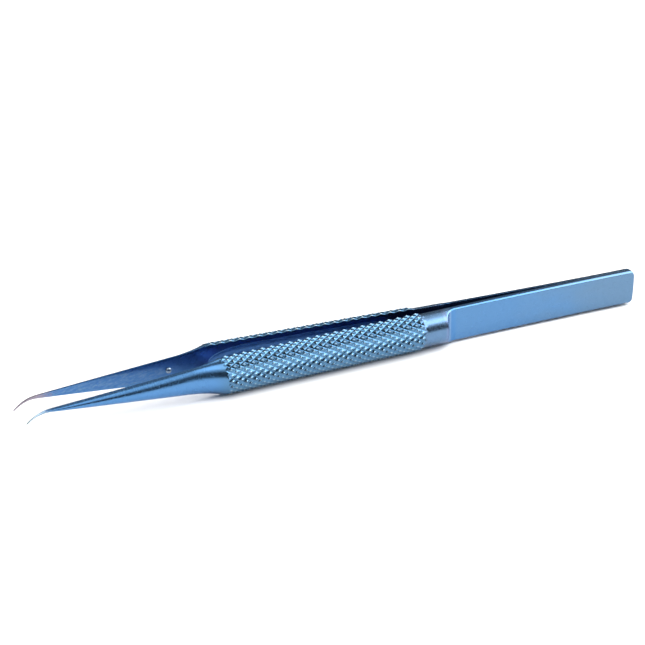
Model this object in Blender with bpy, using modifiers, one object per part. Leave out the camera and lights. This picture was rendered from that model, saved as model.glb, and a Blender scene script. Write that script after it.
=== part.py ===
"""Round-handled micro tweezers: two half-round titanium arms welded at the heel.

X runs from the tips (-X) to the heel (+X), Y is the opening direction, Z is up, and
the tweezers lie on the two grips, so Z = 0 is the lowest line of the grips.
`reach` is a distance along X from the heel end (0) towards the tips.
`side` is -1 for the near arm and +1 for the far arm.
"""
import math

import bmesh
import bpy
from mathutils import Matrix, Vector

NEAR, FAR = -1, 1

# Overall sizes, metres
LENGTH = 0.120
GRIP_RADIUS = 0.00355
NECK_RADIUS = 0.0032
AXIS_HEIGHT = GRIP_RADIUS

# Heel and spring blade
HEEL_CORNER = 0.0009
WELD_REACH = 0.006          # the blades lie together up to here
BLADE_GAP = 0.0001          # left between meshes that touch on the real object
BLADE_SPLAY = 0.0135        # slope of a blade where it leaves the weld
BLADE_BOW = 0.40            # quadratic term of the blade's outward bow, 1/m
BLADE_HEEL_THICKNESS = 0.00104
BLADE_FRONT_THICKNESS = 0.00088
FLAT_END = 0.0373           # the milled outer flat ends here in a cutter radius
CUTTER_RADIUS = 0.0025
FLEX_REACH = 0.021          # where the bending blade's equivalent hinge lies
FLEX_SLIT = 0.0003

# Neck, grip and its hollow
STRAIGHT_START = 0.043
GRIP_REAR = 0.0442
GRIP_CHAMFER = 0.0009
GRIP_FRONT = 0.0833
HOLLOW_REAR = 0.0475
HOLLOW_FRONT = 0.0835
HOLLOW_RADIUS = 0.0026
HOLLOW_AXIS_LIFT = 0.00105  # from the inner face, towards the other arm
HOLLOW_END_LENGTH = 0.0075

# Nose and bent tip
FLARE_LENGTH = 0.0065
KNEE_REACH = 0.088          # the inner face turns parallel to the other arm's here
NOSE_TOE_IN = 0.0035
NOSE_HALF_HEIGHT = 0.0025
NOSE_HEIGHT_TAPER = 0.080
NOSE_DEPTH = 0.00155
NOSE_DEPTH_START = 0.090
TIP_DEPTH = 0.00032
TIP_HALF_HEIGHT = 0.00015
BEND_RADIUS = 0.0065
BEND_ANGLE = math.radians(44)

# Weld bead and stop pin
GROOVE_HALF_WIDTH = 0.00075
BEAD_RADIUS = 0.00022
BEAD_REACH = 0.0003
BEAD_LENGTH = 0.0028
PIN_REACH = 0.091
PIN_RADIUS = 0.00055
PIN_SEAT = 0.0009           # how deep the pin sits in the far arm
PIN_STANDOUT = 0.0005
PIN_EDGE = 0.00012

ARC_STEPS = 20              # facets around a half-round section
PIN_SIDES = 24

ANODISED = dict(color=(0.10, 0.27, 0.50, 1.0), metallic=1.0, roughness=0.30)
BARE = dict(color=(0.55, 0.53, 0.50, 1.0), metallic=1.0, roughness=0.35)


def clear_scene():
    for thing in list(bpy.data.objects):
        bpy.data.objects.remove(thing, do_unlink=True)


def new_collection(name):
    collection = bpy.data.collections.new(name)
    bpy.context.scene.collection.children.link(collection)
    return collection


def make_material(name, color, metallic, roughness):
    material = bpy.data.materials.new(name)
    material.use_nodes = True
    shader = material.node_tree.nodes["Principled BSDF"]
    shader.inputs["Base Color"].default_value = color
    shader.inputs["Metallic"].default_value = metallic
    shader.inputs["Roughness"].default_value = roughness
    return material


# ---------------------------------------------------------------- arm outline

def half_gap(reach):
    """Distance of an arm's inner face from the mid plane."""
    along = max(reach - WELD_REACH, 0.0)
    bowed = min(along, STRAIGHT_START - WELD_REACH)
    slope = BLADE_SPLAY + 2 * BLADE_BOW * bowed
    gap = BLADE_GAP / 2 + BLADE_SPLAY * bowed + BLADE_BOW * bowed ** 2
    gap += slope * max(min(reach, KNEE_REACH) - STRAIGHT_START, 0.0)
    return gap - NOSE_TOE_IN * max(reach - KNEE_REACH, 0.0)


def blade_thickness(reach):
    share = (reach - WELD_REACH) / (FLAT_END - WELD_REACH)
    share = min(max(share, 0.0), 1.0)
    return BLADE_HEEL_THICKNESS + share * (BLADE_FRONT_THICKNESS - BLADE_HEEL_THICKNESS)


def bar_radius(reach):
    """Radius of the half-round bar from the heel to the front of the grip."""
    share = (reach - GRIP_REAR) / GRIP_CHAMFER
    share = min(max(share, 0.0), 1.0)
    return NECK_RADIUS + share * (GRIP_RADIUS - NECK_RADIUS)


def flared(reach, nose_size, nose_size_at_grip):
    """Concave flare that carries the nose's size up to the grip's radius."""
    share = min(max((reach - GRIP_FRONT) / FLARE_LENGTH, 0.0), 1.0)
    return nose_size + (GRIP_RADIUS - nose_size_at_grip) * (1 - share) ** 2


def nose_half_height(reach):
    return NOSE_HALF_HEIGHT - NOSE_HEIGHT_TAPER * (reach - KNEE_REACH)


def nose_depth(reach):
    share = max(reach - NOSE_DEPTH_START, 0.0) / (LENGTH - NOSE_DEPTH_START)
    return NOSE_DEPTH + (TIP_DEPTH - NOSE_DEPTH) * share ** 2


def half_height(reach):
    if reach < HEEL_CORNER:
        rise = math.sqrt(HEEL_CORNER ** 2 - (HEEL_CORNER - reach) ** 2)
        return NECK_RADIUS - HEEL_CORNER + rise
    if reach <= GRIP_FRONT:
        return bar_radius(reach)
    height = flared(reach, nose_half_height(reach), nose_half_height(GRIP_FRONT))
    return max(height, TIP_HALF_HEIGHT)


def depth(reach):
    if reach <= GRIP_FRONT:
        return bar_radius(reach)
    return flared(reach, nose_depth(reach), nose_depth(GRIP_FRONT))


# The bend starts so that the end of the tip is exactly at LENGTH.
TIP_REACH = LENGTH - TIP_HALF_HEIGHT * math.sin(BEND_ANGLE)
BEND_START = TIP_REACH - BEND_RADIUS * math.sin(BEND_ANGLE)


def bend_angle(reach):
    share = max(reach - BEND_START, 0.0) / BEND_RADIUS
    return math.asin(min(share, 1.0))


def section(reach, side):
    """Half-elliptical section, from its lower inner corner to its upper one."""
    angle = bend_angle(reach)
    drop = BEND_RADIUS * (1 - math.cos(angle))
    centre = Vector((LENGTH / 2 - reach, side * half_gap(reach), AXIS_HEIGHT - drop))
    up = Vector((-math.sin(angle), 0, math.cos(angle)))
    outward = Vector((0, side, 0))
    points = []
    for step in range(ARC_STEPS + 1):
        turn = math.pi * (step / ARC_STEPS - 0.5)
        rise = half_height(reach) * math.sin(turn)
        points.append(centre + outward * depth(reach) * math.cos(turn) + up * rise)
    return points


def spread(start, end, steps):
    return [start + (end - start) * step / steps for step in range(steps + 1)]


def corner_reaches():
    """Stations around the heel's rounded corner, at equal turns of its arc."""
    turns = spread(0, math.pi / 2, 8)
    return [HEEL_CORNER * (1 - math.cos(turn)) for turn in turns]


def loft_bar(name, side, reaches, origin, collection, material):
    """Closed bar through half-round sections, which no primitive or sweep gives."""
    mesh_data = bmesh.new()
    rings = []
    for reach in reaches:
        rings.append([mesh_data.verts.new(point - origin) for point in section(reach, side)])
    for ring, following in zip(rings, rings[1:]):
        for index in range(len(ring)):
            after = (index + 1) % len(ring)
            mesh_data.faces.new((ring[index], ring[after], following[after], following[index]))
    mesh_data.faces.new(rings[0])
    mesh_data.faces.new(reversed(rings[-1]))
    bmesh.ops.recalc_face_normals(mesh_data, faces=mesh_data.faces)
    mesh = bpy.data.meshes.new(name)
    mesh_data.to_mesh(mesh)
    mesh_data.free()
    thing = bpy.data.objects.new(name, mesh)
    thing.location = origin
    mesh.materials.append(material)
    collection.objects.link(thing)
    return thing


# ------------------------------------------------------------------- cutters

def hide_cutter(thing):
    thing.hide_render = True
    thing.display_type = "WIRE"


def cut(thing, cutter):
    modifier = thing.modifiers.new(cutter.name, "BOOLEAN")
    modifier.operation = "DIFFERENCE"
    modifier.solver = "EXACT"
    modifier.object = cutter


def plate_cutter(name, outline, half_thickness, collection):
    """Closed mesh of a flat outline in XY, extruded both ways along Z."""
    curve = bpy.data.curves.new(name, "CURVE")
    curve.dimensions = "2D"
    curve.fill_mode = "BOTH"
    curve.extrude = half_thickness
    spline = curve.splines.new("POLY")
    spline.points.add(len(outline) - 1)
    for point, (x, y) in zip(spline.points, outline):
        point.co = (x, y, 0, 1)
    spline.use_cyclic_u = True
    guide = bpy.data.objects.new(name + "_guide", curve)
    collection.objects.link(guide)
    guide.location = (0, 0, AXIS_HEIGHT)
    bpy.context.view_layer.update()
    evaluated = guide.evaluated_get(bpy.context.evaluated_depsgraph_get())
    mesh = bpy.data.meshes.new_from_object(evaluated)
    welded = bmesh.new()
    welded.from_mesh(mesh)
    bmesh.ops.remove_doubles(welded, verts=welded.verts, dist=1e-7)
    bmesh.ops.recalc_face_normals(welded, faces=welded.faces)
    welded.to_mesh(mesh)
    welded.free()
    cutter = bpy.data.objects.new(name, mesh)
    cutter.matrix_world = guide.matrix_world.copy()
    collection.objects.link(cutter)
    bpy.data.objects.remove(guide, do_unlink=True)
    hide_cutter(cutter)
    return cutter


def flat_cutter(side, collection):
    """Takes the half-round bar down to the spring blade's outer flat."""
    outline = []
    for reach in [-0.001] + spread(0, WELD_REACH, 2)[1:] + spread(WELD_REACH, FLAT_END, 16)[1:]:
        outline.append((reach, half_gap(reach) + blade_thickness(reach)))
    start = outline[-1]
    for turn in spread(0, math.pi / 2, 10)[1:]:
        outline.append((start[0] + CUTTER_RADIUS * math.sin(turn),
                        start[1] + CUTTER_RADIUS * (1 - math.cos(turn))))
    outer = start[1] + 2 * GRIP_RADIUS
    outline += [(outline[-1][0], outer), (outline[0][0], outer)]
    placed = [(LENGTH / 2 - reach, side * y) for reach, y in outline]
    name = "near_flat_cutter" if side == NEAR else "far_flat_cutter"
    return plate_cutter(name, placed, 2 * GRIP_RADIUS, collection)


def hollow_cutter(side, collection):
    """Long round-nosed form that hollows a grip, turned about its own axis."""
    middle = (HOLLOW_REAR + HOLLOW_FRONT) / 2
    half_length = (HOLLOW_FRONT - HOLLOW_REAR) / 2
    # The cutter's widest radius meets the inner face short of its very end,
    # so its rounded ends run on by the part that stays above the face.
    face_share = HOLLOW_AXIS_LIFT / HOLLOW_RADIUS
    end_length = HOLLOW_END_LENGTH / math.sqrt(1 - face_share ** 2)
    straight = half_length - HOLLOW_END_LENGTH
    turns = spread(0, math.pi / 2, 10)
    front = [(HOLLOW_RADIUS * math.sin(turn), straight + end_length * math.cos(turn))
             for turn in turns]
    rear = [(radius, -height) for radius, height in reversed(front)]
    mesh = bpy.data.meshes.new("hollow_profile")
    profile = front + rear
    points = [(radius, 0, height) for radius, height in profile]
    edges = [(index, index + 1) for index in range(len(points) - 1)]
    mesh.from_pydata(points, edges, [])
    name = "near_hollow_cutter" if side == NEAR else "far_hollow_cutter"
    cutter = bpy.data.objects.new(name, mesh)
    screw = cutter.modifiers.new("turn", "SCREW")
    screw.steps = 40
    screw.render_steps = 40
    screw.use_merge_vertices = True
    screw.merge_threshold = 1e-6
    slope = (half_gap(HOLLOW_FRONT) - half_gap(HOLLOW_REAR)) / (HOLLOW_FRONT - HOLLOW_REAR)
    along = Vector((-1, side * slope, 0)).normalized()
    cutter.rotation_mode = "QUATERNION"
    cutter.rotation_quaternion = along.to_track_quat("Z", "Y")
    cutter.location = (LENGTH / 2 - middle, side * (half_gap(middle) - HOLLOW_AXIS_LIFT), AXIS_HEIGHT)
    collection.objects.link(cutter)
    hide_cutter(cutter)
    return cutter


def rod(name, radius, length, sides, placement, collection):
    """Closed cylinder along its own Z."""
    mesh_data = bmesh.new()
    bmesh.ops.create_cone(mesh_data, cap_ends=True, segments=sides, radius1=radius,
                          radius2=radius, depth=length)
    mesh = bpy.data.meshes.new(name)
    mesh_data.to_mesh(mesh)
    mesh_data.free()
    thing = bpy.data.objects.new(name, mesh)
    thing.matrix_world = placement
    collection.objects.link(thing)
    return thing


def groove_cutter(collection):
    """Square prism on edge: the weld's V groove between the two blade ends."""
    prism = Matrix.Translation((LENGTH / 2, 0, AXIS_HEIGHT))
    cutter = rod("weld_groove_cutter", GROOVE_HALF_WIDTH, 3 * GRIP_RADIUS, 4, prism, collection)
    hide_cutter(cutter)
    return cutter


def pin_placement(from_face, to_face):
    """Placement of a rod along Y, between two distances from the far inner face."""
    face = half_gap(PIN_REACH)
    middle = face + (from_face + to_face) / 2
    turned = Matrix.Rotation(math.pi / 2, 4, "X")
    return Matrix.Translation((LENGTH / 2 - PIN_REACH, middle, AXIS_HEIGHT)) @ turned


# -------------------------------------------------------------------- pieces

def round_edges(thing, width, segments):
    bevel = thing.modifiers.new("edges", "BEVEL")
    bevel.width = width
    bevel.segments = segments
    bevel.limit_method = "ANGLE"


def smooth_round(thing):
    thing.data.shade_smooth()
    thing.data.set_sharp_from_angle(angle=math.radians(30))


def hinge_point(side):
    sideways = half_gap(FLEX_REACH) + blade_thickness(FLEX_REACH) / 2
    return Vector((LENGTH / 2 - FLEX_REACH, side * sideways, AXIS_HEIGHT))


def spring_root(name, side, flat, groove, collection, material):
    """Rear half of a spring blade, which stays with the weld."""
    end = FLEX_REACH - FLEX_SLIT / 2
    reaches = corner_reaches() + spread(HEEL_CORNER, WELD_REACH, 2)[1:]
    reaches += spread(WELD_REACH, end, 8)[1:]
    root = loft_bar(name, side, reaches, Vector((0, 0, 0)), collection, material)
    cut(root, flat)
    cut(root, groove)
    smooth_round(root)
    return root


def arm(name, side, flat, hollow, collection, material):
    """Front half of a blade, neck, hollow grip, nose and tip, milled from one bar."""
    start = FLEX_REACH + FLEX_SLIT / 2
    reaches = spread(start, STRAIGHT_START, 12) + [GRIP_REAR, GRIP_REAR + GRIP_CHAMFER]
    reaches += [GRIP_FRONT] + spread(GRIP_FRONT, GRIP_FRONT + FLARE_LENGTH, 12)[1:]
    reaches += spread(GRIP_FRONT + FLARE_LENGTH, BEND_START, 16)[1:]
    turns = spread(0, BEND_ANGLE, 8)[1:]
    reaches += [BEND_START + BEND_RADIUS * math.sin(turn) for turn in turns]
    body = loft_bar(name, side, reaches, hinge_point(side), collection, material)
    cut(body, flat)
    cut(body, hollow)
    smooth_round(body)
    return body


def stop_pin(collection, material):
    """Pin pressed into the far nose, which stops an over-hard squeeze."""
    placement = pin_placement(PIN_SEAT, -PIN_STANDOUT)
    pin = rod("stop_pin", PIN_RADIUS, PIN_SEAT + PIN_STANDOUT, PIN_SIDES, placement, collection)
    pin.data.materials.append(material)
    round_edges(pin, PIN_EDGE, 2)
    smooth_round(pin)
    return pin


def pin_hole_cutter(collection):
    placement = pin_placement(PIN_SEAT + BLADE_GAP, -PIN_STANDOUT)
    length = PIN_SEAT + BLADE_GAP + PIN_STANDOUT
    cutter = rod("pin_hole_cutter", PIN_RADIUS + BLADE_GAP, length, PIN_SIDES, placement, collection)
    hide_cutter(cutter)
    return cutter


def heel_weld(collection, material):
    """Bead that joins the two blade ends, lying in their V groove."""
    placement = Matrix.Translation((LENGTH / 2 - BEAD_REACH, 0, AXIS_HEIGHT))
    bead = rod("heel_weld", BEAD_RADIUS, BEAD_LENGTH, PIN_SIDES, placement, collection)
    bead.data.materials.append(material)
    round_edges(bead, BEAD_RADIUS / 2, 3)
    smooth_round(bead)
    return bead


def main():
    clear_scene()
    parts = new_collection("micro_tweezers")
    cutters = new_collection("cutters")
    anodised = make_material("anodised_titanium", **ANODISED)
    bare = make_material("bare_titanium", **BARE)

    groove = groove_cutter(cutters)
    for side, side_name in ((NEAR, "near"), (FAR, "far")):
        flat = flat_cutter(side, cutters)
        hollow = hollow_cutter(side, cutters)
        spring_root(side_name + "_spring_root", side, flat, groove, parts, anodised)
        body = arm(side_name + "_arm", side, flat, hollow, parts, anodised)
        if side == FAR:
            cut(body, pin_hole_cutter(cutters))
    heel_weld(parts, bare)
    stop_pin(parts, bare)


main()
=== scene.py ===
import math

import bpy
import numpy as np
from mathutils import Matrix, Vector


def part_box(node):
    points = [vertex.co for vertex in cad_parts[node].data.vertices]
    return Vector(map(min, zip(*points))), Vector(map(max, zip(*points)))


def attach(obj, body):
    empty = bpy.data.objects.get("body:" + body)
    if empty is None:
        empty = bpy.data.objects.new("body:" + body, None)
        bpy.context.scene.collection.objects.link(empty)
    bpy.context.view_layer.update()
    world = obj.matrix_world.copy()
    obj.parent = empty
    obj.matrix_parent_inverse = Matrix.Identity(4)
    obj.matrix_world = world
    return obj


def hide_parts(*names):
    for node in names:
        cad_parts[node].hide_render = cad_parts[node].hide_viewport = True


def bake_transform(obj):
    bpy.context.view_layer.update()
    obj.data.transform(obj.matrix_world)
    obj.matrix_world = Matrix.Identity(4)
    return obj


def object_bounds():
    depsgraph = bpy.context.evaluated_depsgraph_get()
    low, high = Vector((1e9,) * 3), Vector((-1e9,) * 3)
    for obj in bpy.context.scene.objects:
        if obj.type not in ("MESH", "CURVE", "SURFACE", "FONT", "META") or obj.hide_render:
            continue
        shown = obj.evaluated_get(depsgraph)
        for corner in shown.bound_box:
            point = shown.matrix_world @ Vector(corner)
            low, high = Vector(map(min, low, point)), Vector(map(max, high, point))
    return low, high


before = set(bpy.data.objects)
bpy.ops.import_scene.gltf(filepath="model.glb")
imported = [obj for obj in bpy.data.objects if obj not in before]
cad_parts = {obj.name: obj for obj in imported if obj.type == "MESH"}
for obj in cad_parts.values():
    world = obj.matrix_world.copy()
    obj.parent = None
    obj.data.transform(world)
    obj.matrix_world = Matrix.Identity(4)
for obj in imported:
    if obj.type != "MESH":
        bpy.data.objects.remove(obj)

# Looks of the round-handled micro tweezers. Each arm is one continuous piece from the heel
# to the bent tip, as it is milled from one titanium bar, with the knurl cut as real geometry.
# `reach` is the distance along X from the heel end towards the tips, in metres.

MM = 0.001
CAD_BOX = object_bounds()

# Places taken from the frame
HEEL_X = CAD_BOX[1][0]
LENGTH = CAD_BOX[1][0] - CAD_BOX[0][0]
GRIP_RADIUS = (CAD_BOX[1][2] - CAD_BOX[0][2]) / 2
AXIS_Z = (CAD_BOX[1][2] + CAD_BOX[0][2]) / 2
PIN_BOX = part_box("stop_pin")
BEAD_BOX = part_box("heel_weld")

# Arm outline: the CAD model's, but with the blades closed up at the heel, a finer heel end and
# a steeper chamfer at the grip's rear
NECK_RADIUS = 3.2 * MM
HEEL_CORNER = 0.8 * MM
HEEL_CROWN = 0.15 * MM
HEEL_SLANT = 0.18 * MM
HEEL_CROWN_REACH = 3.0 * MM
WELD_REACH = 6.0 * MM
HEEL_HALF_GAP = 0.004 * MM
BLADE_SPLAY = 0.0135
BLADE_BOW = 0.40
BLADE_HEEL_THICKNESS = 1.04 * MM
BLADE_FRONT_THICKNESS = 0.88 * MM
FLAT_END = 37.3 * MM
CUTTER_RADIUS = 2.5 * MM
STRAIGHT_START = 43.0 * MM
GRIP_REAR = 44.2 * MM
GRIP_CHAMFER = 0.5 * MM
GRIP_FRONT = 83.3 * MM
FLARE_LENGTH = 6.5 * MM
KNEE_REACH = 88.0 * MM
NOSE_TOE_IN = 0.0035
NOSE_HALF_HEIGHT = 2.5 * MM
NOSE_HEIGHT_TAPER = 0.080
NOSE_DEPTH = 1.55 * MM
NOSE_DEPTH_START = 90.0 * MM
TIP_DEPTH = 0.32 * MM
TIP_HALF_HEIGHT = 0.15 * MM
POINT_START = 117.5 * MM
POINT_TAPER = 0.35
BEND_RADIUS = 6.5 * MM
BEND_ANGLE = math.radians(44)
HOLLOW_REAR = 47.5 * MM
HOLLOW_FRONT = 83.5 * MM
HOLLOW_RADIUS = 2.6 * MM
HOLLOW_LIFT = 1.05 * MM
HOLLOW_END = 7.5 * MM
GROOVE_HALF_WIDTH = 0.75 * MM

# Knurl: diamonds 1.8 mm long and ten round each half, with hollow sides
KNURL_PITCH = 1.80 * MM
KNURL_ROUND = 10
KNURL_DEPTH = 0.28 * MM
KNURL_RUNOUT = 3.2 * MM
KNURL_SIDE_HOLLOW = 0.6
CREST_BAND = 0.02 * MM          # how far the bar may end below a crest that still shows its worn, painted-glint colour
CELL_STEPS = 12

# Broken edges of the machined metal
EDGE = 0.08 * MM
GRIP_EDGE = 0.17 * MM
BLADE_EDGE = 0.02 * MM
TIP_EDGE = 0.05 * MM
FLAT_EDGE = 0.08 * MM
BEVEL_CUT = 0.10 * MM
BEVEL_HEEL_GROWTH = 0.4
BEVEL_TILT = math.radians(50)
BEVEL_RUNOUT = 1.8 * MM
BEVEL_LEAST_DEPTH = 0.2
END_EDGE = 0.16 * MM
NOSE_EDGE_SHARE = 0.1
EDGE_LEAST_SHARE = 0.3
RIM_EDGE = 0.06 * MM
POINT_SHIFT = 0.35              # share of its depth at which the point closes

# Mask of the painted highlight on the hollow's wall
RIM_FADE = 0.05 * MM
WALL_MIDDLE = 0.3

# Steps of the mesh, and shares that place its closest rings and points
CORNER_STEPS = 3
RIM_STEPS = 7
RIM_LEAST_SHARE = 0.08
ARC_START_LIMIT = 0.9
INNER_STEPS = 40
END_EDGE_RINGS = 5
HEEL_CORNER_RINGS = 12
HEEL_RING_CLEARANCE = 1.1
BLADE_RINGS = 40
FILLET_RINGS = 45
NECK_START_RINGS = 8
NECK_START_STEP = 0.04 * MM
NECK_RINGS = 10
FLARE_RINGS = 20
NOSE_RINGS = 44
BEND_RINGS = 18
POINT_RINGS = 8
POINT_TURN_SHARE = 0.94
POINT_CLOSED_SHARE = 0.97

TIP_REACH = LENGTH - TIP_HALF_HEIGHT * math.sin(BEND_ANGLE)
BEND_START = TIP_REACH - BEND_RADIUS * math.sin(BEND_ANGLE)
ARC_STEPS = KNURL_ROUND * CELL_STEPS


# ---------------------------------------------------------------- arm outline

def half_gap(reach):
    """Distance of an arm's inner face from the mid plane."""
    bowed = np.clip(reach - WELD_REACH, 0, STRAIGHT_START - WELD_REACH)
    slope = BLADE_SPLAY + 2 * BLADE_BOW * bowed
    gap = HEEL_HALF_GAP + BLADE_SPLAY * bowed + BLADE_BOW * bowed ** 2
    gap = gap + slope * np.clip(np.minimum(reach, KNEE_REACH) - STRAIGHT_START, 0, None)
    return gap - NOSE_TOE_IN * np.clip(reach - KNEE_REACH, 0, None)


def flat_depth(reach):
    """Distance from the inner face to the milled outer flat, large where there is none."""
    share = np.clip((reach - WELD_REACH) / (FLAT_END - WELD_REACH), 0, 1)
    depth = BLADE_HEEL_THICKNESS + share * (BLADE_FRONT_THICKNESS - BLADE_HEEL_THICKNESS)
    run = np.clip(reach - FLAT_END, 0, CUTTER_RADIUS)
    depth = depth + CUTTER_RADIUS - np.sqrt(CUTTER_RADIUS ** 2 - run ** 2)
    return np.where(reach > FLAT_END + CUTTER_RADIUS, GRIP_RADIUS * 2, depth)


def flat_limit(reach, z, height, thick):
    """The milled flat with the small polished bevel along its upper and lower edges."""
    flat = flat_depth(reach) + 0 * z
    corner = height * np.sqrt(np.clip(1 - (flat / thick) ** 2, 0, 1))
    cut = BEVEL_CUT * np.clip(1 - (reach - FLAT_END) / BEVEL_RUNOUT, 0, 1)
    cut = cut * (1 + BEVEL_HEEL_GROWTH * np.clip(1 - reach / FLAT_END, 0, 1))
    support = flat * math.cos(BEVEL_TILT) + corner * math.sin(BEVEL_TILT) - cut
    bevel = (support - np.abs(z) * math.sin(BEVEL_TILT)) / math.cos(BEVEL_TILT)
    bevelled = smooth_min(flat, np.maximum(bevel, BEVEL_LEAST_DEPTH * flat), FLAT_EDGE)
    return np.where(cut > 0, bevelled, flat)


def bar_radius(reach):
    share = np.clip((reach - GRIP_REAR) / GRIP_CHAMFER, 0, 1)
    return NECK_RADIUS + share * (GRIP_RADIUS - NECK_RADIUS)


def nose_half_height(reach):
    return NOSE_HALF_HEIGHT - NOSE_HEIGHT_TAPER * (reach - KNEE_REACH)


def nose_depth(reach):
    share = np.clip(reach - NOSE_DEPTH_START, 0, None) / (LENGTH - NOSE_DEPTH_START)
    return NOSE_DEPTH + (TIP_DEPTH - NOSE_DEPTH) * share ** 2


def flared(reach, nose_size):
    share = np.clip((reach - GRIP_FRONT) / FLARE_LENGTH, 0, 1)
    return nose_size(reach) + (GRIP_RADIUS - nose_size(GRIP_FRONT)) * (1 - share) ** 2


def half_height(reach):
    corner = np.clip(reach, 0, HEEL_CORNER)
    rise = np.sqrt(HEEL_CORNER ** 2 - (HEEL_CORNER - corner) ** 2) - HEEL_CORNER
    nose = np.maximum(flared(reach, nose_half_height), TIP_HALF_HEIGHT)
    return np.where(reach <= GRIP_FRONT, bar_radius(reach) + rise, nose)


def depth(reach):
    return np.where(reach <= GRIP_FRONT, bar_radius(reach), flared(reach, nose_depth))


def hollow_radius(reach):
    """Radius of the round cutter's path, whose middle lies outside the inner face."""
    middle = (HOLLOW_REAR + HOLLOW_FRONT) / 2
    straight = (HOLLOW_FRONT - HOLLOW_REAR) / 2 - HOLLOW_END
    end_length = HOLLOW_END / math.sqrt(1 - (HOLLOW_LIFT / HOLLOW_RADIUS) ** 2)
    share = np.clip((np.abs(reach - middle) - straight) / end_length, 0, 1)
    return HOLLOW_RADIUS * np.sqrt(1 - share ** 2)


def hollow_rim(reach):
    """Half the hollow's width on the inner face, 0 where there is none."""
    return np.sqrt(np.clip(hollow_radius(reach) ** 2 - HOLLOW_LIFT ** 2, 0, None))


def inner_heights(reach, top, low):
    """Heights of an inner face's points, with one on each edge of the hollow."""
    rim = np.clip(hollow_rim(reach), RIM_LEAST_SHARE * top, (1 - RIM_LEAST_SHARE) * top)
    outside = np.linspace(0, 1, RIM_STEPS + 1)[None, 1:] ** 2
    inside = np.cos(math.pi * np.linspace(0, 1, INNER_STEPS + 1)[None, 1:])
    above = np.concatenate([rim + outside[:, -2::-1] * (top - rim), rim], axis=1)
    below = -rim + outside * (low + rim)
    return np.concatenate([above, inside * rim, below[:, :-1]], axis=1)


def hollow_depth(reach, z):
    """Depth of the hollow milled into a grip's inner face, with its edge broken."""
    inside = hollow_radius(reach) ** 2 - z ** 2
    deep = np.sqrt(np.clip(inside, 0, None)) - HOLLOW_LIFT
    return -smooth_min(-deep, 0 * deep, RIM_EDGE)


def hollow_wall(reach, z):
    """Mask of the painted highlight on the hollow's walls and of the painted shade beside it: 1 at
    the top of the hollow's walls, less in its middle and 0 on the flat beside it.
    """
    rim = hollow_rim(reach)
    outside = np.clip((np.abs(z) - rim) / RIM_FADE, 0, 1)
    share = np.clip(np.abs(z) / np.maximum(rim, RIM_FADE), 0, 1)
    inside = WALL_MIDDLE + (1 - WALL_MIDDLE) * share
    return np.where(rim > 0, inside * (1 - outside), 0)


def smooth_min(a, b, width):
    """The smaller of a and b, rounded over where they are within width of each other."""
    share = np.clip(0.5 + 0.5 * (b - a) / width, 0, 1)
    return b + (a - b) * share - width * share * (1 - share)


def knurl_height(ring, step):
    """Height of the diamonds, 0 in the grooves and 1 on the crests."""
    along = ring / CELL_STEPS
    around = step / CELL_STEPS
    waves = []
    for phase in (along + around, along - around):
        waves.append(1 - np.abs(2 * (phase - np.floor(phase)) - 1))
    lower = np.minimum(*waves)
    return lower * (1 - KNURL_SIDE_HOLLOW + KNURL_SIDE_HOLLOW * lower)


# -------------------------------------------------------------------- arm mesh

def arm_reaches():
    """Ring places along an arm, and each ring's place in the knurl's pattern."""
    end_edge = END_EDGE * (1 - np.cos(np.linspace(0, math.pi / 2, END_EDGE_RINGS)))
    corner = HEEL_CORNER * (1 - np.cos(np.linspace(0, math.pi / 2, HEEL_CORNER_RINGS)))
    corner = corner[corner > END_EDGE * HEEL_RING_CLEARANCE]
    blade = np.linspace(HEEL_CORNER, FLAT_END, BLADE_RINGS)[1:]
    neck_start = FLAT_END + CUTTER_RADIUS
    fillet = np.linspace(FLAT_END, neck_start, FILLET_RINGS)[1:]
    neck = np.append(neck_start + NECK_START_STEP * np.arange(1, NECK_START_RINGS + 1),
                     np.linspace(neck_start, GRIP_REAR, NECK_RINGS)[2:-1])
    ring_step = KNURL_PITCH / CELL_STEPS
    rings = int((GRIP_FRONT + KNURL_RUNOUT - GRIP_REAR) / ring_step)
    knurl = GRIP_REAR + ring_step * np.arange(rings + 1)
    flare = np.linspace(knurl[-1], GRIP_FRONT + FLARE_LENGTH, FLARE_RINGS)[1:]
    nose = np.linspace(flare[-1], BEND_START, NOSE_RINGS)[1:]
    bend_turns = np.linspace(0, BEND_ANGLE * POINT_TURN_SHARE, BEND_RINGS)[1:]
    point_turns = np.linspace(POINT_TURN_SHARE, 1, POINT_RINGS)[1:] * BEND_ANGLE
    bend = BEND_START + BEND_RADIUS * np.sin(np.append(bend_turns, point_turns))
    before = np.concatenate([end_edge, corner, blade, fillet, neck])
    reach = np.concatenate([before, knurl, flare, nose, bend])
    pattern = (np.arange(len(reach)) - len(before)).astype(float)
    return reach, pattern, len(before), len(before) + rings


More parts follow.
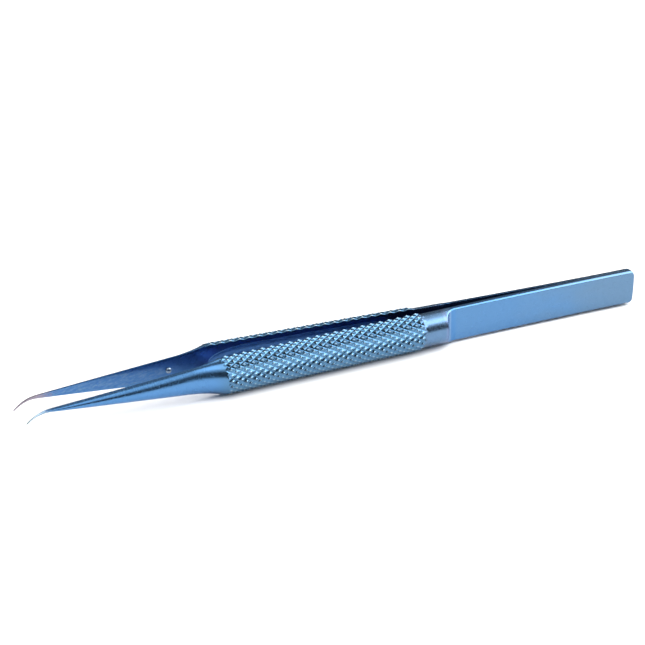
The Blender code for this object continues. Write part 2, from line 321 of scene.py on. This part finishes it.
def section_points(reach, pattern):
    """Outline of every section as (away from the inner face, up), with the material's masks."""
    ring = reach[:, None]
    height, thick = half_height(ring), depth(ring)
    edge = np.minimum(EDGE, TIP_EDGE + NOSE_EDGE_SHARE * height)
    edge = edge * np.clip(height / MM, EDGE_LEAST_SHARE, 1)
    from_rear = np.clip((ring - GRIP_REAR) / MM, 0, 1)
    from_front = np.clip((GRIP_FRONT + MM - ring) / MM, 0, 1)
    edge = edge + (GRIP_EDGE - EDGE) * from_rear * from_front
    edge = np.where(ring < FLAT_END, BLADE_EDGE, edge)
    start = np.arcsin(np.clip(edge / thick, 0, ARC_START_LIMIT))
    step = np.arange(ARC_STEPS + 1)[None, :]
    turn = (math.pi - 2 * start) * (step / ARC_STEPS - 0.5)
    y, z = thick * np.cos(turn), height * np.sin(turn)

    knurled = (ring > GRIP_REAR) & (ring < GRIP_FRONT + KNURL_RUNOUT)
    crest = knurl_height(pattern[:, None], step)
    bar = np.hypot(y, z)
    cut_radius = GRIP_RADIUS - KNURL_DEPTH * (1 - crest)
    radius = np.where(knurled, np.minimum(bar, cut_radius), bar)
    # Crests of the knurl: worn anodising, also the mask of a painted glint
    worn_and_glint = np.where(knurled, crest * (bar > cut_radius - CREST_BAND), 0)
    y, z = y * radius / bar, z * radius / bar
    y = smooth_min(y, flat_limit(ring, z, height, thick), FLAT_EDGE)

    corner_turns = np.linspace(0, math.pi / 2, CORNER_STEPS + 2)[1:][None, :]
    top_y, top_z = y[:, -1:], z[:, -1:]
    low_y, low_z = y[:, :1], z[:, :1]
    corner_y = top_y * (1 - np.sin(corner_turns))
    corner_z = top_z - edge * (1 - np.cos(corner_turns))
    low_corner_y = low_y * (1 - np.sin(corner_turns[:, ::-1]))
    low_corner_z = low_z + edge * (1 - np.cos(corner_turns[:, ::-1]))
    inner_z = inner_heights(ring, corner_z[:, -1:], low_corner_z[:, :1])
    inner_y = hollow_depth(ring, inner_z)
    inner_y += np.clip(GROOVE_HALF_WIDTH - HEEL_HALF_GAP - ring, 0, None)

    ys = np.concatenate([y, corner_y, inner_y, low_corner_y], axis=1)
    zs = np.concatenate([z, corner_z, inner_z, low_corner_z], axis=1)
    flat = np.zeros_like(corner_y)
    wall = np.concatenate([0 * y, flat, hollow_wall(ring, inner_z), flat], axis=1)
    worn_and_glint = np.concatenate([worn_and_glint, flat + worn_and_glint[:, -1:], 0 * inner_y, flat + worn_and_glint[:, :1]], axis=1)
    inner = np.concatenate([0 * y, flat, 1 + 0 * inner_y, flat], axis=1)
    return ys, zs, worn_and_glint, inner, wall


def shrink_ends(reach, ys, zs):
    """Rounds the heel's end edge and the point of the tip."""
    ring = reach[:, None]
    run = np.clip(1 - ring / END_EDGE, 0, 1)
    inset = END_EDGE * (1 - np.sqrt(1 - run ** 2))
    middle = flat_depth(ring) / 2
    heel = ring < END_EDGE
    ys = np.where(heel, middle + (ys - middle) * (1 - inset / middle), ys)
    zs = zs * np.where(heel, 1 - inset / half_height(ring), 1)
    end_start = BEND_START + BEND_RADIUS * math.sin(BEND_ANGLE * POINT_TURN_SHARE)
    share = np.clip((ring - end_start) / (reach[-1] - end_start), 0, 1) * POINT_CLOSED_SHARE
    point = np.clip((ring - POINT_START) / (reach[-1] - POINT_START), 0, 1)
    size = np.sqrt(1 - share ** 2) * (1 - POINT_TAPER * point)
    tip = ring > POINT_START
    ys = np.where(tip, ys * size + (1 - size) * depth(ring) * POINT_SHIFT, ys)
    return ys, zs * np.where(tip, size, 1)


def arm_piece(name, side):
    reach, pattern, knurl_start, knurl_end = arm_reaches()
    ys, zs, worn_and_glint, inner, wall = section_points(reach, pattern)
    ys, zs = shrink_ends(reach, ys, zs)
    ring = reach[:, None]
    bend = np.arcsin(np.clip((ring - BEND_START) / BEND_RADIUS, 0, 1))
    crown = HEEL_CROWN * (zs / NECK_RADIUS) ** 2 + HEEL_SLANT * (1 - zs / NECK_RADIUS)
    crown = (crown - crown.min()) * np.clip(1 - ring / HEEL_CROWN_REACH, 0, 1) ** 2
    x = HEEL_X - ring - crown - np.sin(bend) * zs
    y = side * (half_gap(ring) + ys)
    z = AXIS_Z - BEND_RADIUS * (1 - np.cos(bend)) + np.cos(bend) * zs
    count = ys.shape[1]
    vertices = np.stack([x, y, z], axis=-1).reshape(-1, 3)

    faces = []
    for index in range(len(reach) - 1):
        here, after = index * count, (index + 1) * count
        for column in range(count):
            beside = (column + 1) % count
            a, b, c, d = here + column, here + beside, after + beside, after + column
            split = knurl_start <= index < knurl_end and column < ARC_STEPS
            if not split:
                faces.append((a, b, c, d))
            elif falls_one_way(pattern[index], column):
                faces += [(a, b, c), (a, c, d)]
            else:
                faces += [(a, b, d), (b, c, d)]
    faces.append(tuple(range(count))[::-1])
    faces.append(tuple(range((len(reach) - 1) * count, len(reach) * count)))
    if side > 0:
        faces = [face[::-1] for face in faces]
    mesh = bpy.data.meshes.new(name)
    mesh.from_pydata(vertices.tolist(), [], faces)
    around = np.cumsum(np.hypot(np.diff(ys, axis=1, prepend=ys[:, :1]),
                                np.diff(zs, axis=1, prepend=zs[:, :1])), axis=1)
    middle = around[:, ARC_STEPS // 2][:, None]
    store(mesh, "reach", np.broadcast_to(ring / MM, ys.shape))
    store(mesh, "around", (around - middle) / MM)
    store(mesh, "up", zs / MM)
    store(mesh, "crest", worn_and_glint)
    store(mesh, "inner", inner)
    store(mesh, "wall", wall)
    return finish_mesh(name, mesh)


def falls_one_way(ring, step):
    """True where the knurl's creases run along a grid cell's first diagonal."""
    heights = [knurl_height(np.array(ring + a), np.array(step + b)) for a, b in
               ((0, 0), (0, 1), (1, 1), (1, 0))]
    return heights[0] + heights[2] <= heights[1] + heights[3]


def store(mesh, name, values):
    attribute = mesh.attributes.new(name, "FLOAT", "POINT")
    attribute.data.foreach_set("value", np.ascontiguousarray(values, dtype=np.float32).ravel())


def finish_mesh(name, mesh, sharp=32):
    mesh.validate()
    thing = bpy.data.objects.new(name, mesh)
    bpy.context.scene.collection.objects.link(thing)
    mesh.shade_smooth()
    mesh.set_sharp_from_angle(angle=math.radians(sharp))
    return thing


# --------------------------------------------------------------- small pieces

def turned_piece(name, profile, centre, axis, steps=48):
    """Closed solid turned from (radius, height) points, first and last on its axis."""
    axis = Vector(axis).normalized()
    across = axis.orthogonal().normalized()
    other = axis.cross(across)
    vertices, faces = [Vector(centre) + axis * profile[0][1]], []
    for radius, height in profile[1:-1]:
        for step in range(steps):
            turn = 2 * math.pi * step / steps
            out = across * math.cos(turn) + other * math.sin(turn)
            vertices.append(Vector(centre) + axis * height + out * radius)
    vertices.append(Vector(centre) + axis * profile[-1][1])
    last, rings = len(vertices) - 1, len(profile) - 2
    for step in range(steps):
        beside = (step + 1) % steps
        faces.append((0, 1 + beside, 1 + step))
        for ring in range(rings - 1):
            low, high = 1 + ring * steps, 1 + (ring + 1) * steps
            faces.append((low + step, low + beside, high + beside, high + step))
        top = 1 + (rings - 1) * steps
        faces.append((top + step, top + beside, last))
    mesh = bpy.data.meshes.new(name)
    mesh.from_pydata([tuple(vertex) for vertex in vertices], [], faces)
    return finish_mesh(name, mesh, sharp=40)


PIN_DOME = 0.62
PIN_EDGE = 0.04


def pin_piece():
    """Stop pin with a domed end."""
    low, high = Vector(PIN_BOX[0]), Vector(PIN_BOX[1])
    radius = (high.x - low.x) / 2
    length = high.y - low.y
    dome = radius * PIN_DOME
    profile = [(0, 0), (radius * (1 - PIN_EDGE), 0), (radius, radius * PIN_EDGE)]
    for turn in np.linspace(0, math.pi / 2, 12)[:-1]:
        profile.append((radius * math.cos(turn), length - dome * (1 - math.sin(turn))))
    profile.append((0, length))
    centre = ((low.x + high.x) / 2, high.y, (low.z + high.z) / 2)
    return turned_piece("stop_pin_turned", profile, centre, (0, -1, 0))


BEAD_HALF_LENGTH = 0.62 * NECK_RADIUS
BEAD_HALF_WIDTH = 0.50 * MM
BEAD_HALF_DEPTH = 0.34 * MM
BEAD_PROUD = 0.04 * MM
BEAD_RIPPLE = 0.30 * MM
BEAD_RIPPLE_SHARE = 0.05
BEAD_RIPPLE_LAG = 0.10 * MM
BEAD_END_SIZE = 0.02
BEAD_END_POWER = 8


def bead_piece():
    """Weld bead in the V groove of the heel, with the ripples of its run."""
    rings, steps = 90, 28
    centre_x = BEAD_BOX[1][0] - BEAD_HALF_DEPTH + BEAD_PROUD
    vertices, faces = [], []
    for ring in range(rings + 1):
        share = -1 + 2 * ring / rings
        rounded = math.sqrt(max(1 - share ** BEAD_END_POWER, 0.0))
        fade = rounded * (1 - BEAD_END_SIZE) + BEAD_END_SIZE
        up = share * BEAD_HALF_LENGTH
        size = fade * (1 + BEAD_RIPPLE_SHARE * math.cos(2 * math.pi * up / BEAD_RIPPLE))
        for step in range(steps):
            turn = 2 * math.pi * step / steps
            vertices.append((centre_x + BEAD_HALF_DEPTH * size * math.cos(turn),
                             BEAD_HALF_WIDTH * size * math.sin(turn),
                             AXIS_Z + up + BEAD_RIPPLE_LAG * math.cos(turn) * fade))
    for ring in range(rings):
        for step in range(steps):
            beside = (step + 1) % steps
            a, b = ring * steps, (ring + 1) * steps
            faces.append((a + step, a + beside, b + beside, b + step))
    faces.append(tuple(range(steps))[::-1])
    faces.append(tuple(range(rings * steps, (rings + 1) * steps)))
    mesh = bpy.data.meshes.new("heel_weld_bead")
    mesh.from_pydata(vertices, [], faces)
    return finish_mesh("heel_weld_bead", mesh, sharp=50)


# ------------------------------------------------------------------ materials

class Nodes:
    """Short calls for building one material's node tree."""

    def __init__(self, name):
        self.material = bpy.data.materials.new(name)
        self.material.use_nodes = True
        self.tree = self.material.node_tree
        self.shader = self.tree.nodes["Principled BSDF"]

    def link(self, value, socket):
        if isinstance(value, bpy.types.NodeSocket):
            self.tree.links.new(value, socket)
        else:
            socket.default_value = value

    def attribute(self, name):
        node = self.tree.nodes.new("ShaderNodeAttribute")
        node.attribute_name = name
        return node.outputs["Fac"]

    def maths(self, operation, first, second=0.0, clamp=False):
        node = self.tree.nodes.new("ShaderNodeMath")
        node.operation = operation
        node.use_clamp = clamp
        self.link(first, node.inputs[0])
        self.link(second, node.inputs[1])
        return node.outputs[0]

    def remap(self, value, low, high, to_low=0.0, to_high=1.0):
        node = self.tree.nodes.new("ShaderNodeMapRange")
        node.interpolation_type = "SMOOTHSTEP"
        self.link(value, node.inputs["Value"])
        for name, number in (("From Min", low), ("From Max", high),
                             ("To Min", to_low), ("To Max", to_high)):
            self.link(number, node.inputs[name])
        return node.outputs["Result"]

    def vector(self, x, y, z=0.0):
        node = self.tree.nodes.new("ShaderNodeCombineXYZ")
        for value, socket in zip((x, y, z), node.inputs):
            self.link(value, socket)
        return node.outputs[0]

    def noise(self, vector, scale, detail):
        node = self.tree.nodes.new("ShaderNodeTexNoise")
        self.link(vector, node.inputs["Vector"])
        node.inputs["Scale"].default_value = scale
        node.inputs["Detail"].default_value = detail
        node.inputs["Roughness"].default_value = 0.55
        return node.outputs["Fac"]

    def drawn_out(self, along, round_bar, detail):
        """Noise along and round an arm, with its own scale (per mm) in each direction."""
        place = self.vector(self.maths("MULTIPLY", self.attribute("reach"), along),
                            self.maths("MULTIPLY", self.attribute("around"), round_bar))
        return self.noise(place, 1.0, detail)

    def mix(self, factor, first, second):
        node = self.tree.nodes.new("ShaderNodeMix")
        node.data_type = "RGBA"
        self.link(factor, node.inputs["Factor"])
        self.link(first, node.inputs[6])
        self.link(second, node.inputs[7])
        return node.outputs[2]

    def bump(self, height, distance):
        node = self.tree.nodes.new("ShaderNodeBump")
        node.inputs["Strength"].default_value = 1.0
        node.inputs["Distance"].default_value = distance
        self.link(height, node.inputs["Height"])
        self.link(node.outputs["Normal"], self.shader.inputs["Normal"])


NOSE = (0.090, 0.230, 0.462, 1)
NECK = (0.112, 0.203, 0.335, 1)
BLADE = (0.092, 0.212, 0.400, 1)
HEEL = (0.114, 0.205, 0.325, 1)
GRIP = (0.082, 0.186, 0.312, 1)
INNER = (0.074, 0.185, 0.420, 1)
# Painted highlight on the hollow's walls
INNER_WALL_PAINTED_HIGHLIGHT = (0.250, 0.500, 0.820, 1)
# Painted shade on the inner flat beside the hollow along the grip
INNER_FLAT_PAINTED_SHADE = (0.060, 0.104, 0.285, 1)
# Painted shade on the wedge along the upper edge of the nose's inner face
INNER_WEDGE_PAINTED_SHADE = (0.036, 0.100, 0.270, 1)
INNER_SCOURED = (0.135, 0.262, 0.445, 1)
FILLET_DEEP = (0.078, 0.205, 0.420, 1)
# Painted highlight on the steep part of the fillet
FILLET_PAINTED_HIGHLIGHT = (0.170, 0.310, 0.520, 1)
FILLET_GREY = (0.145, 0.218, 0.365, 1)
# Knurl crests: worn, paler metal, lightened further as a painted glint
CREST_WEAR_AND_GLINT = (0.48, 0.63, 0.70, 1)

# Every band is a pair of reaches in mm, where it is still missing and where it is complete
# The pale fillet band is a painted highlight on the fillet's steep wall
OUTER_BANDS = ((FILLET_DEEP, 36.9, 37.4), (FILLET_PAINTED_HIGHLIGHT, 38.0, 38.4), (FILLET_GREY, 39.3, 39.6),
               (NECK, 40.0, 40.4), (GRIP, 44.2, 45.2), (NOSE, 82.5, 86.5))
HEEL_COLOR_BAND = (4.0, 27.0)
HEEL_COLOR_DRIFT = 22.0
SCOURED_BAND = (86.0, 95.0)
# Reaches where the wedge of painted shade comes in, and its shape above the bar's axis; the scoured
# colour also starts later under it
WEDGE_BAND = (90.0, 95.0)
WEDGE_BOTTOM = 0.6              # mm above the bar's axis
WEDGE_SLOPE = 14.0              # mm along the arm for each mm up
# Reaches where the painted shade beside the hollow ends
FLAT_SHADE_BAND = (87.0, 82.5)
CREST_WEAR_AND_GLINT_MIX = 0.7
RAGGED_SIZE = 4.0               # mm that the edge of the bare metal wanders
HATCH_SIZE = 5.0
GROUND_BAND = (38.5, 37.0)
KNURL_START_BAND = (44.2, 45.2)
KNURL_END_BAND = (86.5, 83.5)
INNER_ROUGHER = 0.04
GRIP_SMOOTHER = 0.06
MARK_HEIGHT = 0.00015 * MM
GRAIN_DARKER = 0.72
GRAIN_HEIGHT = 0.006 * MM


def outer_color(n, reach):
    """The anodised colour drifts along the arm and follows the kind of cut, with a painted highlight
    band on the fillet.
    """
    patchy = n.maths("SUBTRACT", n.drawn_out(0.10, 0.25, 2.0), 0.5)
    drift = n.maths("ADD", reach, n.maths("MULTIPLY", patchy, HEEL_COLOR_DRIFT))
    color = n.mix(n.remap(drift, *HEEL_COLOR_BAND), HEEL, BLADE)
    for band_color, start, full in OUTER_BANDS:
        color = n.mix(n.remap(reach, start, full), color, band_color)
    return color


def inner_color(n, reach):
    """Inner face with its hollow, a painted highlight on the hollow's walls, painted shade on the
    flat beside it, and a scoured nose but for a wedge of painted shade along the upper edge.
    """
    # Painted shade: the wedge along the upper edge of the nose's inner face is darkened
    over = n.maths("MAXIMUM", n.maths("SUBTRACT", n.attribute("up"), WEDGE_BOTTOM), 0.0)
    wedge = n.maths("MULTIPLY", over, WEDGE_SLOPE)
    shaded = n.maths("MULTIPLY", n.remap(wedge, 3.0, 12.0, 0.0, 0.6), n.remap(reach, *WEDGE_BAND))
    color = n.mix(shaded, INNER, INNER_WEDGE_PAINTED_SHADE)
    wall = n.attribute("wall")
    # Painted shade on the inner flat beside the hollow
    shade_beside_hollow = n.maths("MULTIPLY", n.remap(wall, 0.25, 0.0), n.remap(reach, *FLAT_SHADE_BAND))
    color = n.mix(shade_beside_hollow, color, INNER_FLAT_PAINTED_SHADE)
    # Painted highlight on the hollow's walls
    color = n.mix(n.remap(wall, 0.6, 0.95), color, INNER_WALL_PAINTED_HIGHLIGHT)
    streaky, blotchy = n.drawn_out(0.6, 3.0, 4.0), n.drawn_out(1.5, 2.2, 3.0)
    scoured = n.maths("MULTIPLY", n.remap(n.maths("SUBTRACT", reach, wedge), *SCOURED_BAND),
                      n.remap(streaky, 0.40, 0.62, 0.1, 0.9))
    scoured = n.maths("MULTIPLY", scoured, n.remap(blotchy, 0.38, 0.56, 0.25, 1.1))
    return n.mix(scoured, color, INNER_SCOURED)


def arm_material(name, tip_end_color, bare_start, bare_full):
    """Blue anodised titanium that is ground bare towards the tip, with painted highlights and painted
    shade on parts of it.
    """
    n = Nodes(name)
    reach, inner = n.attribute("reach"), n.attribute("inner")
    color = n.mix(inner, outer_color(n, reach), inner_color(n, reach))
    # Knurl crests get the worn colour together with a painted glint
    color = n.mix(n.remap(n.attribute("crest"), 0.45, 0.95, 0, CREST_WEAR_AND_GLINT_MIX), color, CREST_WEAR_AND_GLINT)

    # Ground bare towards the tip, unevenly; the near arm's bare colour is also lightened by a painted
    # highlight
    ragged = n.maths("MULTIPLY", n.drawn_out(0.9, 2.5, 4.0), RAGGED_SIZE)
    hatch = n.maths("MULTIPLY", n.drawn_out(5.0, 3.0, 2.0), HATCH_SIZE)
    shift = n.maths("SUBTRACT", n.maths("ADD", ragged, hatch), (RAGGED_SIZE + HATCH_SIZE) / 2)
    edge_reach = n.maths("ADD", reach, shift)
    color = n.mix(n.remap(edge_reach, bare_start, bare_full), color, tip_end_color)
    n.link(color, n.shader.inputs["Base Color"])
    n.shader.inputs["Metallic"].default_value = 1.0

    # Turned marks run round the bar, ground marks run along the flats
    on_flat = n.maths("MAXIMUM", inner, n.remap(reach, *GROUND_BAND), clamp=True)
    marks = n.mix(on_flat, n.drawn_out(22.0, 0.35, 3.0), n.drawn_out(0.55, 24.0, 3.0))
    place = n.vector(reach, n.attribute("around"))
    cloudy, fine = n.noise(place, 1.3, 3.0), n.noise(place, 9.0, 2.0)
    rough = n.maths("ADD", n.remap(marks, 0.3, 0.7, 0.22, 0.26), n.remap(cloudy, 0.3, 0.7, 0.0, 0.03))
    rough = n.maths("ADD", rough, n.maths("MULTIPLY", inner, INNER_ROUGHER))
    in_grip = n.maths("MULTIPLY", n.remap(reach, *KNURL_START_BAND), n.remap(reach, *KNURL_END_BAND))
    outer_grip = n.maths("MULTIPLY", in_grip, n.maths("SUBTRACT", 1.0, inner))
    rough = n.maths("SUBTRACT", rough, n.maths("MULTIPLY", outer_grip, GRIP_SMOOTHER))
    n.link(rough, n.shader.inputs["Roughness"])
    n.bump(n.maths("ADD", marks, n.maths("MULTIPLY", fine, 0.4)), MARK_HEIGHT)
    return n.material


def bare_material(name, color, scale):
    """Uncoloured titanium with fine tool marks in object space."""
    n = Nodes(name)
    coordinates = n.tree.nodes.new("ShaderNodeTexCoord").outputs["Object"]
    grain = n.noise(coordinates, scale, 4.0)
    darker = tuple(GRAIN_DARKER * channel for channel in color[:3]) + (1,)
    n.link(n.mix(n.remap(grain, 0.35, 0.65), color, darker), n.shader.inputs["Base Color"])
    n.shader.inputs["Metallic"].default_value = 1.0
    n.link(n.remap(grain, 0.3, 0.7, 0.18, 0.36), n.shader.inputs["Roughness"])
    n.bump(grain, GRAIN_HEIGHT)
    return n.material


# ------------------------------------------------------- floor, lights, camera

FLOOR_HALF = 6.0
FLOOR_COLOR = (0.93, 0.93, 0.93, 1)


def floor():
    """Pale matt sheet under the object."""
    mesh = bpy.data.meshes.new("floor")
    corners = [(FLOOR_HALF * x, FLOOR_HALF * y, 0) for x, y in ((-1, -1), (1, -1), (1, 1), (-1, 1))]
    mesh.from_pydata(corners, [], [(0, 1, 2, 3)])
    thing = bpy.data.objects.new("floor", mesh)
    bpy.context.scene.collection.objects.link(thing)
    material = bpy.data.materials.new("pale_floor")
    material.use_nodes = True
    shader = material.node_tree.nodes["Principled BSDF"]
    shader.inputs["Base Color"].default_value = FLOOR_COLOR
    shader.inputs["Roughness"].default_value = 1.0
    shader.inputs["Specular IOR Level"].default_value = 0.0
    mesh.materials.append(material)


ROOM_FRONT_LEVEL = 0.10
# Name, axis of the direction, its range, and the level at each end of it
ROOM_RAMPS = (("behind", "Z", 0.1, 0.65, 0.08, 0.34), ("side", "Y", -0.3, 0.5, 0.0, 1.0))


def world_light():
    """Dim room around the softboxes, brighter overhead behind the object."""
    world = bpy.data.worlds.new("studio")
    world.use_nodes = True
    tree = world.node_tree
    tree.nodes["Background"].inputs["Color"].default_value = (1, 1, 1, 1)
    split = tree.nodes.new("ShaderNodeSeparateXYZ")
    tree.links.new(tree.nodes.new("ShaderNodeTexCoord").outputs["Generated"], split.inputs[0])
    levels = {}
    for name, axis, low, high, dark, bright in ROOM_RAMPS:
        level = tree.nodes.new("ShaderNodeMapRange")
        level.interpolation_type = "SMOOTHSTEP"
        tree.links.new(split.outputs[axis], level.inputs["Value"])
        for socket, number in (("From Min", low), ("From Max", high),
                               ("To Min", dark), ("To Max", bright)):
            level.inputs[socket].default_value = number
        levels[name] = level.outputs["Result"]
    mix = tree.nodes.new("ShaderNodeMix")
    tree.links.new(levels["side"], mix.inputs["Factor"])
    mix.inputs["A"].default_value = ROOM_FRONT_LEVEL
    tree.links.new(levels["behind"], mix.inputs["B"])
    tree.links.new(mix.outputs["Result"], tree.nodes["Background"].inputs["Strength"])
    bpy.context.scene.world = world


def softbox(name, place, facing, size, radiance, glossy):
    """Rectangular light at a place, turned to face a point."""
    light = bpy.data.lights.new(name, "AREA")
    light.shape = "RECTANGLE"
    light.size, light.size_y = size
    light.energy = radiance * math.pi * size[0] * size[1]
    thing = bpy.data.objects.new(name, light)
    thing.location = place
    away = (Vector(place) - Vector(facing)).normalized()
    thing.rotation_mode = "QUATERNION"
    thing.rotation_quaternion = away.to_track_quat("Z", "Y")
    thing.visible_glossy = glossy
    bpy.context.scene.collection.objects.link(thing)


# Name, place, point faced, size, radiance, and whether the metal mirrors it
SOFTBOXES = (("top_softbox", (0, -0.60, 0.80), (0, -0.60, 0), (2.0, 1.00), 0.92, True),
             ("left_softbox", (-0.42, -0.36, 0.78), (-0.42, -0.36, 0), (1.06, 0.60), 1.5, True),
             ("right_softbox", (0.504, -0.071, 0.318), (0, 0, 0), (0.72, 0.66), 4.2, True),
             ("rear_softbox", (-0.24, 0.48, 0.76), (0, 0, 0), (0.62, 0.42), 2.1, True),
             ("floor_fill", (0, 0, 2.2), (0, 0, 0), (1.6, 1.6), 1.8, False))


CAMERA_AZIMUTH = math.radians(-26.1)
CAMERA_ELEVATION = math.radians(23.96)
CAMERA_DISTANCE = 0.6524
CAMERA_TARGET = Vector((-2.71 * MM, 0, 8.27 * MM))
FOCAL_LENGTH = 207.9
SENSOR_WIDTH = 36.0
CLIP_START = 0.01


def camera():
    data = bpy.data.cameras.new("camera")
    data.lens = FOCAL_LENGTH
    data.sensor_width = SENSOR_WIDTH
    data.clip_start = CLIP_START
    thing = bpy.data.objects.new("camera", data)
    back = Vector((math.sin(CAMERA_AZIMUTH) * math.cos(CAMERA_ELEVATION),
                   -math.cos(CAMERA_AZIMUTH) * math.cos(CAMERA_ELEVATION),
                   math.sin(CAMERA_ELEVATION)))
    thing.location = CAMERA_TARGET + back * CAMERA_DISTANCE
    thing.rotation_mode = "QUATERNION"
    thing.rotation_quaternion = back.to_track_quat("Z", "Y")
    bpy.context.scene.collection.objects.link(thing)
    bpy.context.scene.camera = thing


# Colour of each tip where it is ground bare, the near one lightened by a painted highlight, and the
# reaches in mm where it begins and is complete
TIP_END_COLORS = {"near": ((0.38, 0.49, 0.57, 1), 115.0, 118.4),
             "far": ((0.29, 0.25, 0.31, 1), 112.0, 115.5)}
PIN_COLOR = (0.30, 0.39, 0.48, 1)
PIN_GRAIN = 9000
WELD_COLOR = (0.46, 0.44, 0.50, 1)
WELD_GRAIN = 5000


def place_pieces():
    """Adds the four pieces."""
    for side_name, side in (("near", -1), ("far", 1)):
        piece = arm_piece(side_name + "_tweezer_arm", side)
        piece.data.materials.append(arm_material(side_name + "_anodised", *TIP_END_COLORS[side_name]))
        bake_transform(piece)
        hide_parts(side_name + "_arm", side_name + "_spring_root")
    pin = pin_piece()
    pin.data.materials.append(bare_material("pin_metal", PIN_COLOR, PIN_GRAIN))
    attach(pin, "far_arm")
    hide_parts("stop_pin")
    bead = bead_piece()
    bead.data.materials.append(bare_material("weld_metal", WELD_COLOR, WELD_GRAIN))
    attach(bead, "heel")
    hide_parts("heel_weld")


floor()
world_light()
for softbox_row in SOFTBOXES:
    softbox(*softbox_row)
camera()
place_pieces()
bpy.context.scene.view_settings.view_transform = "Standard"
